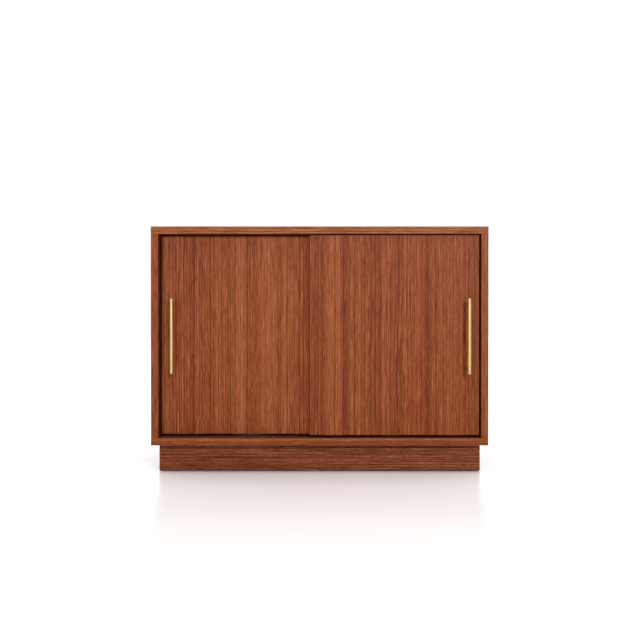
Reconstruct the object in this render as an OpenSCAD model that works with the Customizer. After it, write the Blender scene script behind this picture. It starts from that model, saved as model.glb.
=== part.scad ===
// Low media cabinet with two by-pass sliding doors on a recessed plinth.
// X runs across the front, Y from front to back and Z up, in millimetres.
// The origin is on the floor, under the middle of the whole box, bar pulls included.

/* [Case] */
// Width over the side panels
case_w = 914; // [760:1:1400]
// Height from the underside of the bottom panel to the top face
case_h = 593.5; // [440:0.5:900]
// Depth of the panels, front edge to back edge
case_d = 457; // [360:1:620]
// Thickness of the top, bottom, side and divider panels
panel_t = 20; // [18:0.5:26]
// Radius of the eased edges of the case panels
case_edge_r = 0.8; // [0.4:0.1:2]

/* [Plinth] */
// Height of the case above the floor
plinth_h = 76.5; // [60:0.5:130]
// Thickness of the plinth boards
plinth_t = 18; // [15:0.5:25]
// Distance of the plinth behind the front edge of the case
plinth_setback = 38; // [15:1:90]
// Distance of the plinth in from each side of the case
plinth_inset = 16; // [0:1:60]
// Distance of the plinth in from the back of the case
plinth_back_inset = 20; // [0:1:60]
// Side of the square blocks glued into the plinth corners
block_w = 50; // [45:1:70]
// Diameter of the nylon floor glides
glide_d = 22; // [16:1:26]
// Thickness of the floor glides
glide_t = 5; // [4:0.5:8]
// Distance that the glides stand out below the plinth
glide_proud = 2; // [1:0.5:3]

/* [Back and divider] */
// Thickness of the back panel
back_t = 6; // [4:0.5:10]
// Distance of the back panel in from the back edges of the case
back_recess = 12; // [8:1:25]
// Depth of the grooves that hold the back panel
back_groove = 7; // [5:0.5:9]
// Distance of the divider behind the rear door
divider_gap = 8; // [5:1:20]
// Outside diameter of a cable grommet's sleeve
grommet_d = 60; // [40:1:80]
// Height of the cable holes above the inside floor
grommet_rise = 112; // [60:1:160]

/* [Shelves] */
// Thickness of the shelves
shelf_t = 19; // [16:0.5:25]
// Distance of the shelf's front edge behind the divider's
shelf_setback = 14; // [5:1:60]
// Gap left behind the shelves for cables
shelf_back_gap = 20; // [8:1:50]
// Height of the shelf's underside above the inside floor
shelf_rise = 262; // [200:1:340]
// Distance from hole to hole in a row of shelf-pin holes
pin_pitch = 32; // [25:1:40]
// Number of holes on each side of the one in use
pin_spare = 3; // [1:1:3]
// Diameter of the shelf pins
pin_d = 5; // [4:0.5:7]

/* [Doors] */
// Thickness of the doors
door_t = 19; // [18:0.5:25]
// Width of the stretch where the closed doors lie over each other
door_overlap = 54; // [20:1:90]
// Distance of the front door behind the front edge of the case
door_recess = 8.5; // [4:0.5:20]
// Air gap between the two doors
door_air = 5; // [3:0.5:10]
// Gap between a closed door and the side panel
side_gap = 3.4; // [2:0.1:6]
// Gap above the doors
top_gap = 3; // [2:0.5:5]
// Gap below the doors
bottom_gap = 7; // [5:0.5:10]
// Radius of the eased edges of the doors
door_edge_r = 1.2; // [0.5:0.1:2.5]

/* [Bar pulls] */
// Diameter of the bar
bar_d = 10; // [8:0.5:14]
// Length of the bar
bar_len = 205; // [120:1:320]
// Distance of the bar's axis in front of the door
bar_reach = 30; // [22:1:45]
// Distance of the bar's axis in from the door's outer edge
bar_inset = 31.5; // [20:0.5:60]
// Distance of the bar's middle below the door's middle
bar_drop = 2.5; // [-20:0.5:20]
// Radius on the ends of the bar
bar_end_r = 3; // [1:0.5:4]
// Diameter of the posts
post_d = 8; // [6:0.5:10]
// Distance of the posts in from the ends of the bar
post_inset = 12.5; // [8:0.5:40]

/* [Tracks] */
// Width of a track
track_w = 46; // [42:1:60]
// Metal left under a channel
track_floor = 1.5; // [1.2:0.1:3]
// Depth of the bottom track's channels
wheel_channel = 4.5; // [3:0.5:6]
// Play on each side of a wheel in its channel
wheel_play = 0.7; // [0.3:0.1:1.5]
// Play on each side of a guide pin in its channel
pin_play = 0.5; // [0.3:0.1:1.5]
// Room above a raised guide pin in its channel
pin_room = 1.5; // [0.5:0.1:3]

/* [Rollers] */
// Diameter of the wheels
wheel_d = 28; // [26:1:32]
// Width of the wheels
wheel_w = 6.6; // [5:0.1:7]
// Diameter of the wheel axles
axle_d = 4; // [3:0.5:5]
// Distance of each roller in from the door's edge
roller_inset = 70; // [60:1:110]
// Length of a roller housing inside the door
housing_len = 60; // [50:1:80]
// Width of a roller housing inside the door
housing_w = 13; // [12:0.5:14]
// Thickness of a roller housing's face plate
plate_t = 2.5; // [2:0.5:3]

/* [Top guides] */
// Diameter of the guide pins
guide_d = 7; // [5:0.5:7.2]
// Outside diameter of the guide housings
guide_housing_d = 15; // [14:0.5:16]
// Distance of each guide in from the door's edge
guide_inset = 60; // [45:1:110]
// Distance that a raised guide pin reaches into its channel
guide_reach = 4.5; // [3:0.5:6]
// Distance that a guide pin can be pushed down below the door's edge
guide_spare = 0.5; // [0:0.1:2]
// Length of the spring with the pin pushed down
spring_pressed = 8; // [7:0.5:12]
// Diameter of the spring wire
wire_d = 1; // [0.6:0.1:1.2]

/* [Fasteners] */
// Diameter of the dowels
dowel_d = 8; // [6:0.5:10]
// Length of the dowels
dowel_len = 30; // [24:1:36]
// Diameter of the cam discs
cam_d = 15; // [12:0.5:15]
// Distance from the end of a side panel to the cam's axis
cam_depth = 24; // [22:1:34]
// Diameter of the track and roller screws
screw_d = 3.5; // [3:0.1:4]
// Diameter of the bar-pull screws
bolt_d = 4; // [3:0.5:5]
// Diameter of the plinth screws
long_screw_d = 5; // [4:0.5:6]

/* [Hidden] */

$fn = 48;

// Colours
veneer = [0.57, 0.30, 0.19];
veneer_dark = [0.45, 0.24, 0.16];
core_wood = [0.72, 0.58, 0.42];
brass = [0.90, 0.76, 0.49];
bronze = [0.30, 0.19, 0.13];
steel = [0.68, 0.69, 0.71];
nylon = [0.17, 0.16, 0.16];
black_plastic = [0.10, 0.10, 0.11];
rubber = [0.16, 0.15, 0.15];

// Clearances
thread_clear = 0.05;   // round a screw's thread or a dowel, on the radius
run_clear = 0.05;      // round a wheel's axle or a guide pin, on the radius
fit_clear = 0.1;       // round a piece let into wood
wheel_lift = 0.3;      // between a wheel and the channel it runs in
wheel_side = 0.5;      // between a wheel and its housing
bumper_clear = 0.2;    // between a bumper and the closed door
panel_play = 0.5;      // at the edges of the back panel in its grooves
side_play = 1;         // at each end of a shelf or a track
press_clear = 0.02;    // round an axle pressed into its housing
bolt_clear = 0.2;      // round a bar-pull screw in the door
bore_spare = 1;        // depth of a blind hole past what it holds
eps = 0.1;             // overshoot of a cut

// Sides and ends: the left door is -1 and runs at the back, the right door is 1 and runs in front
LEFT = -1;
RIGHT = 1;
OUTER = 1;
INNER = 0;

// Inside of the case
inner_w = case_w - 2 * panel_t;
inner_h = case_h - 2 * panel_t;
inside_floor = plinth_h + panel_t;
inside_roof = inside_floor + inner_h;

// Front to back
bar_stand = bar_reach + bar_d / 2;
bar_front = max(0, bar_stand - door_recess);
front_y = bar_front - (case_d + bar_front) / 2;
back_y = front_y + case_d;
door_step = door_t + door_air;
rear_door_back = front_y + door_recess + door_step + door_t;
divider_y = rear_door_back + divider_gap;
back_panel_y = back_y - back_recess - back_t;
shelf_y = divider_y + shelf_setback;
shelf_d = back_panel_y - shelf_back_gap - shelf_y;

// Doors
door_w = inner_w / 2 - side_gap + door_overlap / 2;
door_h = inner_h - top_gap - bottom_gap;
door_z = inside_floor + bottom_gap;
door_edge = inner_w / 2 - side_gap;
function door_face(side) = front_y + door_recess + (side == LEFT ? door_step : 0);
function channel_y(side) = door_face(side) + door_t / 2;
function fitting_x(side, end, inset) = side * (door_edge - (end == OUTER ? inset : door_w - inset));

// Tracks, centred on the two channels
track_y = (channel_y(LEFT) + channel_y(RIGHT)) / 2;
track_len = inner_w - 2 * side_play;
bottom_track_t = track_floor + wheel_channel;
wheel_channel_w = wheel_w + 2 * wheel_play;
pin_channel = guide_reach + pin_room;
pin_channel_w = guide_d + 2 * pin_play;
top_track_t = track_floor + pin_channel;
track_screw_inset = 45;
track_screw_len = panel_t - 5;

// Rollers
wheel_z = inside_floor - wheel_channel + wheel_lift + wheel_d / 2;
wheel_room = 1.5;
pocket_r = wheel_d / 2 + wheel_room;
pocket_w = wheel_w + 2 * wheel_side;
housing_roof = 3;
housing_top = wheel_z + pocket_r + housing_roof;
plate_len = housing_len + 16;
plate_w = housing_w + 2;
plate_screw_x = housing_len / 2 + 3;
plate_screw_len = 16;

// Top guides
door_top = door_z + door_h;
guide_neck = 6;
flange_t = 2;
guide_out = top_gap + guide_reach;
guide_travel = guide_out + guide_spare;
chamber_wall = 2;
spring_len = spring_pressed + guide_travel;
flange_r = guide_d / 2 + 1.8;
chamber_r = flange_r + 0.2;
guide_housing_h = guide_neck + flange_t + spring_len + chamber_wall;
spring_top = door_top - guide_neck - flange_t;

// Bar pulls
bar_z = door_z + door_h / 2 - bar_drop;
bolt_head_r = bolt_d;
bolt_head_t = 2.6;
bolt_sink = 4;
bolt_grip = 8;
spigot_len = 4;
spigot_r = post_d / 2 - 1;

// Plinth
plinth_w = case_w - 2 * plinth_inset;
plinth_y = front_y + plinth_setback;
plinth_d = case_d - plinth_setback - plinth_back_inset;
block_x = plinth_w / 2 - plinth_t - block_w / 2;
block_front_y = plinth_y + plinth_t + block_w / 2;
block_back_y = plinth_y + plinth_d - plinth_t - block_w / 2;
glide_edge = 5;
glide_shift = block_w / 2 - glide_d / 2 - glide_edge;
long_screw_edge = 14;
screw_shift = block_w / 2 - long_screw_edge;
long_screw_grip = 42;
long_screw_seat = plinth_h - long_screw_grip;
long_screw_bite = 12;
long_screw_head_t = 3;

// Joinery of the case, measured back from the front edges
track_to_dowel = 8;
back_to_dowel = 16;
dowel_to_cam = [40, 45];
front_dowel_y = track_y + track_w / 2 + dowel_d + track_to_dowel;
front_cam_y = front_dowel_y + dowel_to_cam[0];
back_dowel_y = back_panel_y - dowel_d - back_to_dowel;
back_cam_y = back_dowel_y - dowel_to_cam[1];
divider_dowel_y = divider_y + 30;
dowel_in_panel = 10;
cam_bolt_d = 6.4;
cam_bolt_thread_r = 2.5;
cam_bolt_neck_r = 1.8;
cam_bolt_neck = 3;
cam_bolt_end = 3;
cam_t = panel_t / 2 + 2;
cam_slot = [2, 9, 1.2];
bolt_hole_d = 8;

// Shelf pins
shelf_pin_inset = 36;
front_pin_y = shelf_y + shelf_pin_inset;
back_pin_y = shelf_y + shelf_d - shelf_pin_inset;
pin_depth = 8;
spade_t = 3;
spade_w = 9;
spade_len = 9;
pin_hole_depth = pin_depth + 0.5;
pin_z = inside_floor + shelf_rise - spade_t / 2;

// Rectangle with rounded corners
module round_rect(w, h, r) {
    square([w - 2 * r, h], center = true);
    square([w, h - 2 * r], center = true);
    for (sx = [-1, 1], sy = [-1, 1])
        translate([sx * (w / 2 - r), sy * (h / 2 - r)])
            circle(r, $fn = 32);
}

// Board with all twelve edges eased, from its lowest corner
module eased_board(at, size, r) {
    translate(at + size / 2)
        intersection() {
            linear_extrude(size.z, center = true)
                round_rect(size.x, size.y, r);
            rotate([90, 0, 0])
                linear_extrude(size.y, center = true)
                    round_rect(size.x, size.z, r);
            rotate([90, 0, 90])
                linear_extrude(size.x, center = true)
                    round_rect(size.y, size.z, r);
        }
}

// Upright board with only its four upright edges eased
module upright_board(at, size, r) {
    translate([at.x + size.x / 2, at.y + size.y / 2, at.z])
        linear_extrude(size.z)
            round_rect(size.x, size.y, r);
}

// Box from its lowest corner
module box(at, size) {
    translate(at)
        cube(size);
}

// Rods along each axis, starting at a point and running the positive way
module rod_x(at, r, len) {
    translate(at)
        rotate([0, 90, 0])
            cylinder(r = r, h = len);
}

module rod_y(at, r, len) {
    translate(at)
        rotate([-90, 0, 0])
            cylinder(r = r, h = len);
}

module rod_z(at, r, len) {
    translate(at)
        cylinder(r = r, h = len);
}

// Block with round ends, along X, centred on a point and standing on it
module slot_block(at, len, w, h) {
    box([at.x - (len - w) / 2, at.y - w / 2, at.z], [len - w, w, h]);
    for (sx = [-1, 1])
        rod_z([at.x + sx * (len - w) / 2, at.y, at.z], w / 2, h);
}

// Countersunk screw whose head is flush at a point; dir 1 drives it up, -1 drives it down
module flush_screw(at, d, len, dir) {
    translate(at)
        aimed(dir) {
            cylinder(r1 = d * 0.95, r2 = d / 2, h = d * 0.45);
            cylinder(r = d / 2, h = len - d * 0.5);
            translate([0, 0, len - d * 0.5])
                cylinder(r1 = d / 2, r2 = d * 0.1, h = d * 0.5);
        }
}

// The hole for such a screw, a little larger all round
module flush_screw_hole(at, d, len, dir) {
    translate(at)
        aimed(dir) {
            translate([0, 0, -eps])
                cylinder(r = d * 0.95 + thread_clear, h = eps);
            cylinder(r1 = d * 0.95 + thread_clear, r2 = d / 2 + thread_clear, h = d * 0.45);
            cylinder(r = d / 2 + thread_clear, h = len + 1);
        }
}

// Points its children up or down
module aimed(dir) {
    if (dir > 0)
        children();
    else
        mirror([0, 0, 1])
            children();
}

// ---------- case ----------

// Dowel and cam places along the depth of a side panel
module at_side_dowels(side) {
    for (y = [front_dowel_y, back_dowel_y])
        translate([side * (case_w - panel_t) / 2, y, 0])
            children();
}

module at_side_cams(side) {
    for (y = [front_cam_y, back_cam_y])
        translate([side * (case_w - panel_t) / 2, y, 0])
            children();
}

module at_divider_dowels() {
    for (y = [divider_dowel_y, back_dowel_y])
        translate([0, y, 0])
            children();
}

// Holes in the top and bottom panels, from the joint face at z
module panel_joint_holes(z, dir) {
    translate([0, 0, z])
        aimed(dir) {
            for (side = [LEFT, RIGHT]) {
                at_side_dowels(side)
                    rod_z([0, 0, -eps], dowel_d / 2 + thread_clear, dowel_in_panel + bore_spare + eps);
                at_side_cams(side)
                    rod_z([0, 0, -eps], cam_bolt_thread_r + thread_clear, dowel_in_panel + bore_spare + eps);
            }
            at_divider_dowels()
                rod_z([0, 0, -eps], dowel_d / 2 + thread_clear, dowel_in_panel + bore_spare + eps);
        }
}

module groove_for_back(z, h) {
    reach = back_groove + panel_play;
    box([-inner_w / 2 - reach, back_panel_y - fit_clear, z],
        [inner_w + 2 * reach, back_t + 2 * fit_clear, h]);
}

// A track's screws, on the land between its channels
module at_track_screws() {
    for (i = [-1.5:1:1.5])
        translate([i * (track_len - 2 * track_screw_inset) / 3, track_y, 0])
            children();
}

module top_panel() {
    z = inside_roof;
    color(veneer)
        difference() {
            eased_board([-case_w / 2, front_y, z], [case_w, case_d, panel_t], case_edge_r);
            panel_joint_holes(z, 1);
            groove_for_back(z - eps, back_groove + eps);
            box([-inner_w / 2, track_y - track_w / 2 - fit_clear, z - eps],
                [inner_w, track_w + 2 * fit_clear, top_track_t + eps]);
            at_track_screws()
                rod_z([0, 0, z], screw_d / 2 + thread_clear, track_screw_len + bore_spare);
        }
}

module bottom_panel() {
    z = plinth_h;
    color(veneer)
        difference() {
            eased_board([-case_w / 2, front_y, z], [case_w, case_d, panel_t], case_edge_r);
            panel_joint_holes(inside_floor, -1);
            groove_for_back(inside_floor - back_groove, back_groove + eps);
            box([-inner_w / 2, track_y - track_w / 2 - fit_clear, inside_floor - bottom_track_t],
                [inner_w, track_w + 2 * fit_clear, bottom_track_t + eps]);
            at_track_screws()
                rod_z([0, 0, inside_floor - track_screw_len - bore_spare],
                    screw_d / 2 + thread_clear, track_screw_len + bore_spare);
            at_plinth_screws()
                rod_z([0, 0, z - eps], long_screw_d / 2 + thread_clear, long_screw_bite + bore_spare + eps);
        }
}

// Rows of shelf-pin holes on the face at x, drilled the dir way along X
module pin_holes(x, dir) {
    for (y = [front_pin_y, back_pin_y], i = [-pin_spare:pin_spare])
        rod_x([dir > 0 ? x - eps : x - pin_hole_depth, y, pin_z + i * pin_pitch],
            pin_d / 2 + thread_clear, pin_hole_depth + eps);
}

module side_panel(side) {
    inner_x = side * inner_w / 2;
    difference() {
        upright_board([side * (case_w - panel_t) / 2 - panel_t / 2, front_y, inside_floor],
            [panel_t, case_d, inner_h], case_edge_r);
        pin_holes(inner_x, side);
        for (end = [[inside_floor, 1], [inside_roof, -1]])
            translate([0, 0, end[0]])
                aimed(end[1]) {
                    at_side_dowels(side)
                        rod_z([0, 0, -eps], dowel_d / 2 + thread_clear,
                            dowel_len - dowel_in_panel + bore_spare + eps);
                    at_side_cams(side) {
                        rod_z([0, 0, -eps], bolt_hole_d / 2, cam_depth + eps);
                        rod_x([side > 0 ? -panel_t / 2 - eps : panel_t / 2 - cam_t - fit_clear, 0,
                            cam_depth], cam_d / 2 + fit_clear, cam_t + fit_clear + eps);
                    }
                }
        box([side > 0 ? inner_x - eps : inner_x - back_groove, back_panel_y - fit_clear,
            inside_floor - eps], [back_groove + eps, back_t + 2 * fit_clear, inner_h + 2 * eps]);
        at_bumpers(side)
            rod_x([0, 0, 0], bumper_stem_r + fit_clear, bumper_stem + bore_spare);
    }
}

module left_side() {
    color(veneer)
        side_panel(LEFT);
}

module right_side() {
    color(veneer)
        side_panel(RIGHT);
}

module center_divider() {
    color(veneer)
        difference() {
            upright_board([-panel_t / 2, divider_y, inside_floor],
                [panel_t, back_panel_y - divider_y, inner_h], case_edge_r);
            pin_holes(panel_t / 2, -1);
            pin_holes(-panel_t / 2, 1);
            for (end = [[inside_floor, 1], [inside_roof, -1]])
                translate([0, 0, end[0]])
                    aimed(end[1])
                        at_divider_dowels()
                            rod_z([0, 0, -eps], dowel_d / 2 + thread_clear,
                                dowel_len - dowel_in_panel + bore_spare + eps);
        }
}

grommet_x = (inner_w + panel_t) / 4;
grommet_z = inside_floor + grommet_rise;
grommet_lip = 4;
grommet_wall = 3;
grommet_lip_t = 2;
grommet_proud = 2;

module back_panel() {
    w = inner_w + 2 * (back_groove - panel_play);
    h = inner_h + 2 * (back_groove - panel_play);
    color(veneer_dark)
        difference() {
            box([-w / 2, back_panel_y, inside_floor - back_groove + panel_play], [w, back_t, h]);
            for (side = [LEFT, RIGHT])
                rod_y([side * grommet_x, back_panel_y - eps, grommet_z],
                    grommet_d / 2 + fit_clear, back_t + 2 * eps);
        }
}

// Ring that lines a cable hole, with its lip inside the cabinet
module cable_grommet(side) {
    r = grommet_d / 2;
    translate([side * grommet_x, back_panel_y, grommet_z])
        rotate([-90, 0, 0])
            rotate_extrude($fn = 96)
                union() {
                    translate([r - grommet_wall, -grommet_lip_t])
                        square([grommet_wall, grommet_lip_t + back_t + grommet_proud]);
                    translate([r - grommet_wall, -grommet_lip_t])
                        square([grommet_wall + grommet_lip, grommet_lip_t]);
                }
}

module left_cable_grommet() {
    color(black_plastic)
        cable_grommet(LEFT);
}

module right_cable_grommet() {
    color(black_plastic)
        cable_grommet(RIGHT);
}

// ---------- shelves ----------

shelf_w = (inner_w - panel_t) / 2 - 2 * side_play;

module shelf(side) {
    x = side * (inner_w + panel_t) / 4;
    eased_board([x - shelf_w / 2, shelf_y, inside_floor + shelf_rise],
        [shelf_w, shelf_d, shelf_t], case_edge_r);
}

module left_shelf() {
    color(veneer)
        shelf(LEFT);
}

module right_shelf() {
    color(veneer)
        shelf(RIGHT);
}

// Four pins with flat spades that the shelf lies on
module shelf_pins(side) {
    middle = side * (inner_w + panel_t) / 4;
    wall = (inner_w - panel_t) / 4;
    for (dir = [-1, 1], y = [front_pin_y, back_pin_y])
        translate([middle + dir * wall, y, pin_z])
            mirror([dir < 0 ? 1 : 0, 0, 0]) {
                rod_x([-1, 0, 0], pin_d / 2, pin_depth + 1);
                box([-spade_len, -spade_w / 2, -spade_t / 2], [spade_len, spade_w, spade_t]);
            }
}

module left_shelf_pins() {
    color(steel)
        shelf_pins(LEFT);
}

module right_shelf_pins() {
    color(steel)
        shelf_pins(RIGHT);
}

// ---------- plinth ----------

board_z = glide_proud;
board_h = plinth_h - glide_proud;

module plinth_front() {
    color(veneer_dark)
        eased_board([-plinth_w / 2, plinth_y, board_z], [plinth_w, plinth_t, board_h], case_edge_r);
}

module plinth_back() {
    color(veneer_dark)
        eased_board([-plinth_w / 2, plinth_y + plinth_d - plinth_t, board_z],
            [plinth_w, plinth_t, board_h], case_edge_r);
}

module plinth_side(side) {
    box([side * (plinth_w - plinth_t) / 2 - plinth_t / 2, plinth_y + plinth_t, board_z],
        [plinth_t, plinth_d - 2 * plinth_t, board_h]);
}

module plinth_left() {
    color(veneer_dark)
        plinth_side(LEFT);
}

module plinth_right() {
    color(veneer_dark)
        plinth_side(RIGHT);
}

// The four corners of the plinth, turned so that +X and +Y point out of the cabinet
module at_blocks() {
    for (sx = [-1, 1])
        translate([sx * block_x, block_front_y, 0])
            mirror([sx < 0 ? 1 : 0, 0, 0])
                mirror([0, 1, 0])
                    children();
    for (sx = [-1, 1])
        translate([sx * block_x, block_back_y, 0])
            mirror([sx < 0 ? 1 : 0, 0, 0])
                children();
}

module at_plinth_screws() {
    at_blocks()
        translate([-screw_shift, -screw_shift, 0])
            children();
}

module plinth_corner_blocks() {
    color(core_wood)
        at_blocks()
            difference() {
                box([-block_w / 2, -block_w / 2, board_z], [block_w, block_w, board_h]);
                rod_z([glide_shift, glide_shift, board_z - eps], glide_d / 2 + fit_clear,
                    glide_t - glide_proud + eps);
                translate([-screw_shift, -screw_shift, 0]) {
                    rod_z([0, 0, board_z - eps], long_screw_d + 1, long_screw_seat - board_z + eps);
                    rod_z([0, 0, board_z], long_screw_d / 2 + thread_clear, board_h + eps);
                }
            }
}

module plinth_screws() {
    color(steel)
        at_plinth_screws() {
            rod_z([0, 0, long_screw_seat - long_screw_head_t], long_screw_d, long_screw_head_t);
            rod_z([0, 0, long_screw_seat - 1], long_screw_d / 2,
                long_screw_grip + long_screw_bite + 1);
        }
}

module floor_glides() {
    color(nylon)
        at_blocks()
            translate([glide_shift, glide_shift, 0]) {
                cylinder(r1 = glide_d / 2 - 1, r2 = glide_d / 2, h = 1);
                rod_z([0, 0, 1], glide_d / 2, glide_t - 1);
            }
}

// ---------- joinery ----------

// Every joint between an upright panel and the top or bottom panel
module at_joint_faces() {
    translate([0, 0, inside_floor])
        children();
    translate([0, 0, inside_roof])
        mirror([0, 0, 1])
            children();
}

module case_dowels() {
    color(core_wood)
        at_joint_faces() {
            for (side = [LEFT, RIGHT])
                at_side_dowels(side)
                    rod_z([0, 0, -dowel_in_panel], dowel_d / 2, dowel_len);
            at_divider_dowels()
                rod_z([0, 0, -dowel_in_panel], dowel_d / 2, dowel_len);
        }
}

// Bolts from the top and bottom panels into the cam discs
module cam_bolts() {
    neck_z = cam_depth - 7;
    color(steel)
        at_joint_faces()
            for (side = [LEFT, RIGHT])
                at_side_cams(side) {
                    rod_z([0, 0, -dowel_in_panel], cam_bolt_thread_r, dowel_in_panel);
                    rod_z([0, 0, 0], cam_bolt_d / 2, neck_z);
                    rod_z([0, 0, neck_z], cam_bolt_neck_r, cam_bolt_neck);
                    rod_z([0, 0, neck_z + cam_bolt_neck], cam_bolt_d / 2, cam_bolt_end);
                }
}

// Discs let into the inner faces of the sides, hollowed for the bolt's head
module cam_discs() {
    color(steel)
        at_joint_faces()
            for (side = [LEFT, RIGHT])
                at_side_cams(side)
                    translate([0, 0, cam_depth])
                        difference() {
                            rod_x([side > 0 ? -panel_t / 2 : panel_t / 2 - cam_t, 0, 0], cam_d / 2, cam_t);
                            rod_z([0, 0, -cam_d], bolt_hole_d / 2, cam_d + 1);
                            for (turn = [0, 90])
                                rotate([turn, 0, 0])
                                    box([side > 0 ? -panel_t / 2 - eps : panel_t / 2 - cam_slot.x,
                                        -cam_slot.y / 2, -cam_slot.z / 2], cam_slot + [eps, 0, 0]);
                        }
}

// ---------- tracks and bumpers ----------

// Bar with two channels; dir 1 opens them up, -1 opens them down
module track(z, t, channel, channel_w, dir) {
    translate([0, 0, z])
        aimed(dir)
            difference() {
                box([-track_len / 2, track_y - track_w / 2, -t], [track_len, track_w, t]);
                for (side = [LEFT, RIGHT])
                    box([-track_len / 2 - eps, channel_y(side) - channel_w / 2, -channel],
                        [track_len + 2 * eps, channel_w, channel + eps]);
                at_track_screws()
                    flush_screw_hole([0, 0, 0], screw_d, t, -1);
            }
}

module top_track() {
    color(bronze)
        track(inside_roof, top_track_t, pin_channel, pin_channel_w, -1);
}

module bottom_track() {
    color(bronze)
        track(inside_floor, bottom_track_t, wheel_channel, wheel_channel_w, 1);
}

module track_screws() {
    color(steel)
        at_track_screws() {
            flush_screw([0, 0, inside_roof], screw_d, track_screw_len, 1);
            flush_screw([0, 0, inside_floor], screw_d, track_screw_len, -1);
        }
}

bumper_r = 4.5;
bumper_stem_r = 2.5;
bumper_stem = 6;
bumper_inset = 60;

// Places on a side panel where the door's edge comes to rest, pointing into the panel
module at_bumpers(side) {
    for (z = [door_z + bumper_inset, door_top - bumper_inset])
        translate([side * inner_w / 2, channel_y(side), z])
            mirror([side < 0 ? 1 : 0, 0, 0])
                children();
}

module door_bumpers() {
    color(rubber)
        for (side = [LEFT, RIGHT])
            at_bumpers(side) {
                rod_x([-side_gap + bumper_clear, 0, 0], bumper_r, side_gap - bumper_clear);
                rod_x([-eps, 0, 0], bumper_stem_r, bumper_stem + eps);
            }
}

// ---------- doors ----------

module door(side) {
    face = door_face(side);
    left_x = side == LEFT ? -door_edge : door_edge - door_w;
    bar_x = side * (door_edge - bar_inset);
    difference() {
        eased_board([left_x, face, door_z], [door_w, door_t, door_h], door_edge_r);
        for (end = [OUTER, INNER]) {
            x = fitting_x(side, end, roller_inset);
            slot_block([x, channel_y(side), door_z - eps], housing_len + 2 * fit_clear,
                housing_w + 2 * fit_clear, housing_top + fit_clear - door_z + eps);
            for (sx = [-1, 1])
                rod_z([x + sx * plate_screw_x, channel_y(side), door_z - eps],
                    screw_d / 2 + thread_clear, plate_screw_len + bore_spare);
            rod_z([fitting_x(side, end, guide_inset), channel_y(side), door_top - guide_housing_h],
                guide_housing_d / 2 + fit_clear, guide_housing_h + eps);
        }
        for (z = post_heights()) {
            rod_y([bar_x, face - eps, z], bolt_d / 2 + bolt_clear, door_t + 2 * eps);
            rod_y([bar_x, face + door_t - bolt_sink, z], bolt_head_r + 0.5, bolt_sink + eps);
        }
    }
}

module left_door() {
    color(veneer)
        door(LEFT);
}

module right_door() {
    color(veneer)
        door(RIGHT);
}

// ---------- bar pulls ----------

function post_heights() = [for (s = [-1, 1]) bar_z + s * (bar_len / 2 - post_inset)];

// Round bar with rounded ends, drilled at the back for the posts' spigots
module handle_bar(side) {
    y = door_face(side) - bar_reach;
    x = side * (door_edge - bar_inset);
    r = bar_d / 2;
    difference() {
        translate([x, y, bar_z])
            rotate_extrude($fn = 64)
                intersection() {
                    round_rect(bar_d, bar_len, bar_end_r);
                    translate([0, -bar_len / 2])
                        square([r, bar_len]);
                }
        for (z = post_heights())
            rod_y([x, y + r - spigot_len, z], spigot_r + thread_clear, spigot_len + eps);
    }
}

module handle_posts(side) {
    face = door_face(side);
    x = side * (door_edge - bar_inset);
    bar_y = face - bar_reach;
    for (z = post_heights())
        difference() {
            union() {
                difference() {
                    rod_y([x, bar_y, z], post_d / 2, bar_reach);
                    rod_z([x, bar_y, z - post_d], bar_d / 2 + thread_clear, 2 * post_d);
                }
                rod_y([x, bar_y + bar_d / 2 - spigot_len + fit_clear, z], spigot_r, spigot_len + 2);
            }
            rod_y([x, face - bolt_grip - 1, z], bolt_d / 2 + thread_clear, bolt_grip + 1 + eps);
        }
}

// Pan-head screws from the back of the door into the posts
module handle_screws(side) {
    seat = door_face(side) + door_t - bolt_sink;
    x = side * (door_edge - bar_inset);
    for (z = post_heights()) {
        difference() {
            rod_y([x, seat, z], bolt_head_r, bolt_head_t);
            box([x - 3, seat + bolt_head_t - 1, z - 0.5], [6, 1 + eps, 1]);
        }
        rod_y([x, seat - (door_t - bolt_sink) - bolt_grip, z], bolt_d / 2,
            door_t - bolt_sink + bolt_grip);
    }
}

module left_handle_bar() {
    color(brass)
        handle_bar(LEFT);
}

module right_handle_bar() {
    color(brass)
        handle_bar(RIGHT);
}

module left_handle_posts() {
    color(brass)
        handle_posts(LEFT);
}

module right_handle_posts() {
    color(brass)
        handle_posts(RIGHT);
}

module left_handle_screws() {
    color(steel)
        handle_screws(LEFT);
}

module right_handle_screws() {
    color(steel)
        handle_screws(RIGHT);
}

// ---------- rollers ----------

// Housing let into the door's lower edge, with a face plate under it
module roller_housing(side, end) {
    x = fitting_x(side, end, roller_inset);
    y = channel_y(side);
    difference() {
        union() {
            slot_block([x, y, door_z - plate_t], housing_len, housing_w,
                housing_top - door_z + plate_t);
            slot_block([x, y, door_z - plate_t], plate_len, plate_w, plate_t);
        }
        rod_y([x, y - pocket_w / 2, wheel_z], pocket_r, pocket_w);
        box([x - pocket_r, y - pocket_w / 2, door_z - plate_t - eps],
            [2 * pocket_r, pocket_w, wheel_z - door_z + plate_t + eps]);
        rod_y([x, y - plate_w, wheel_z], axle_d / 2 + press_clear, 2 * plate_w);
        for (sx = [-1, 1])
            flush_screw_hole([x + sx * plate_screw_x, y, door_z - plate_t], screw_d, plate_screw_len + plate_t, 1);
    }
}

module roller_axles(side) {
    for (end = [OUTER, INNER])
        rod_y([fitting_x(side, end, roller_inset), channel_y(side) - housing_w / 2, wheel_z],
            axle_d / 2, housing_w);
}

module roller_screws(side) {
    for (end = [OUTER, INNER], sx = [-1, 1])
        flush_screw([fitting_x(side, end, roller_inset) + sx * plate_screw_x, channel_y(side),
            door_z - plate_t], screw_d, plate_screw_len + plate_t, 1);
}

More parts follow.
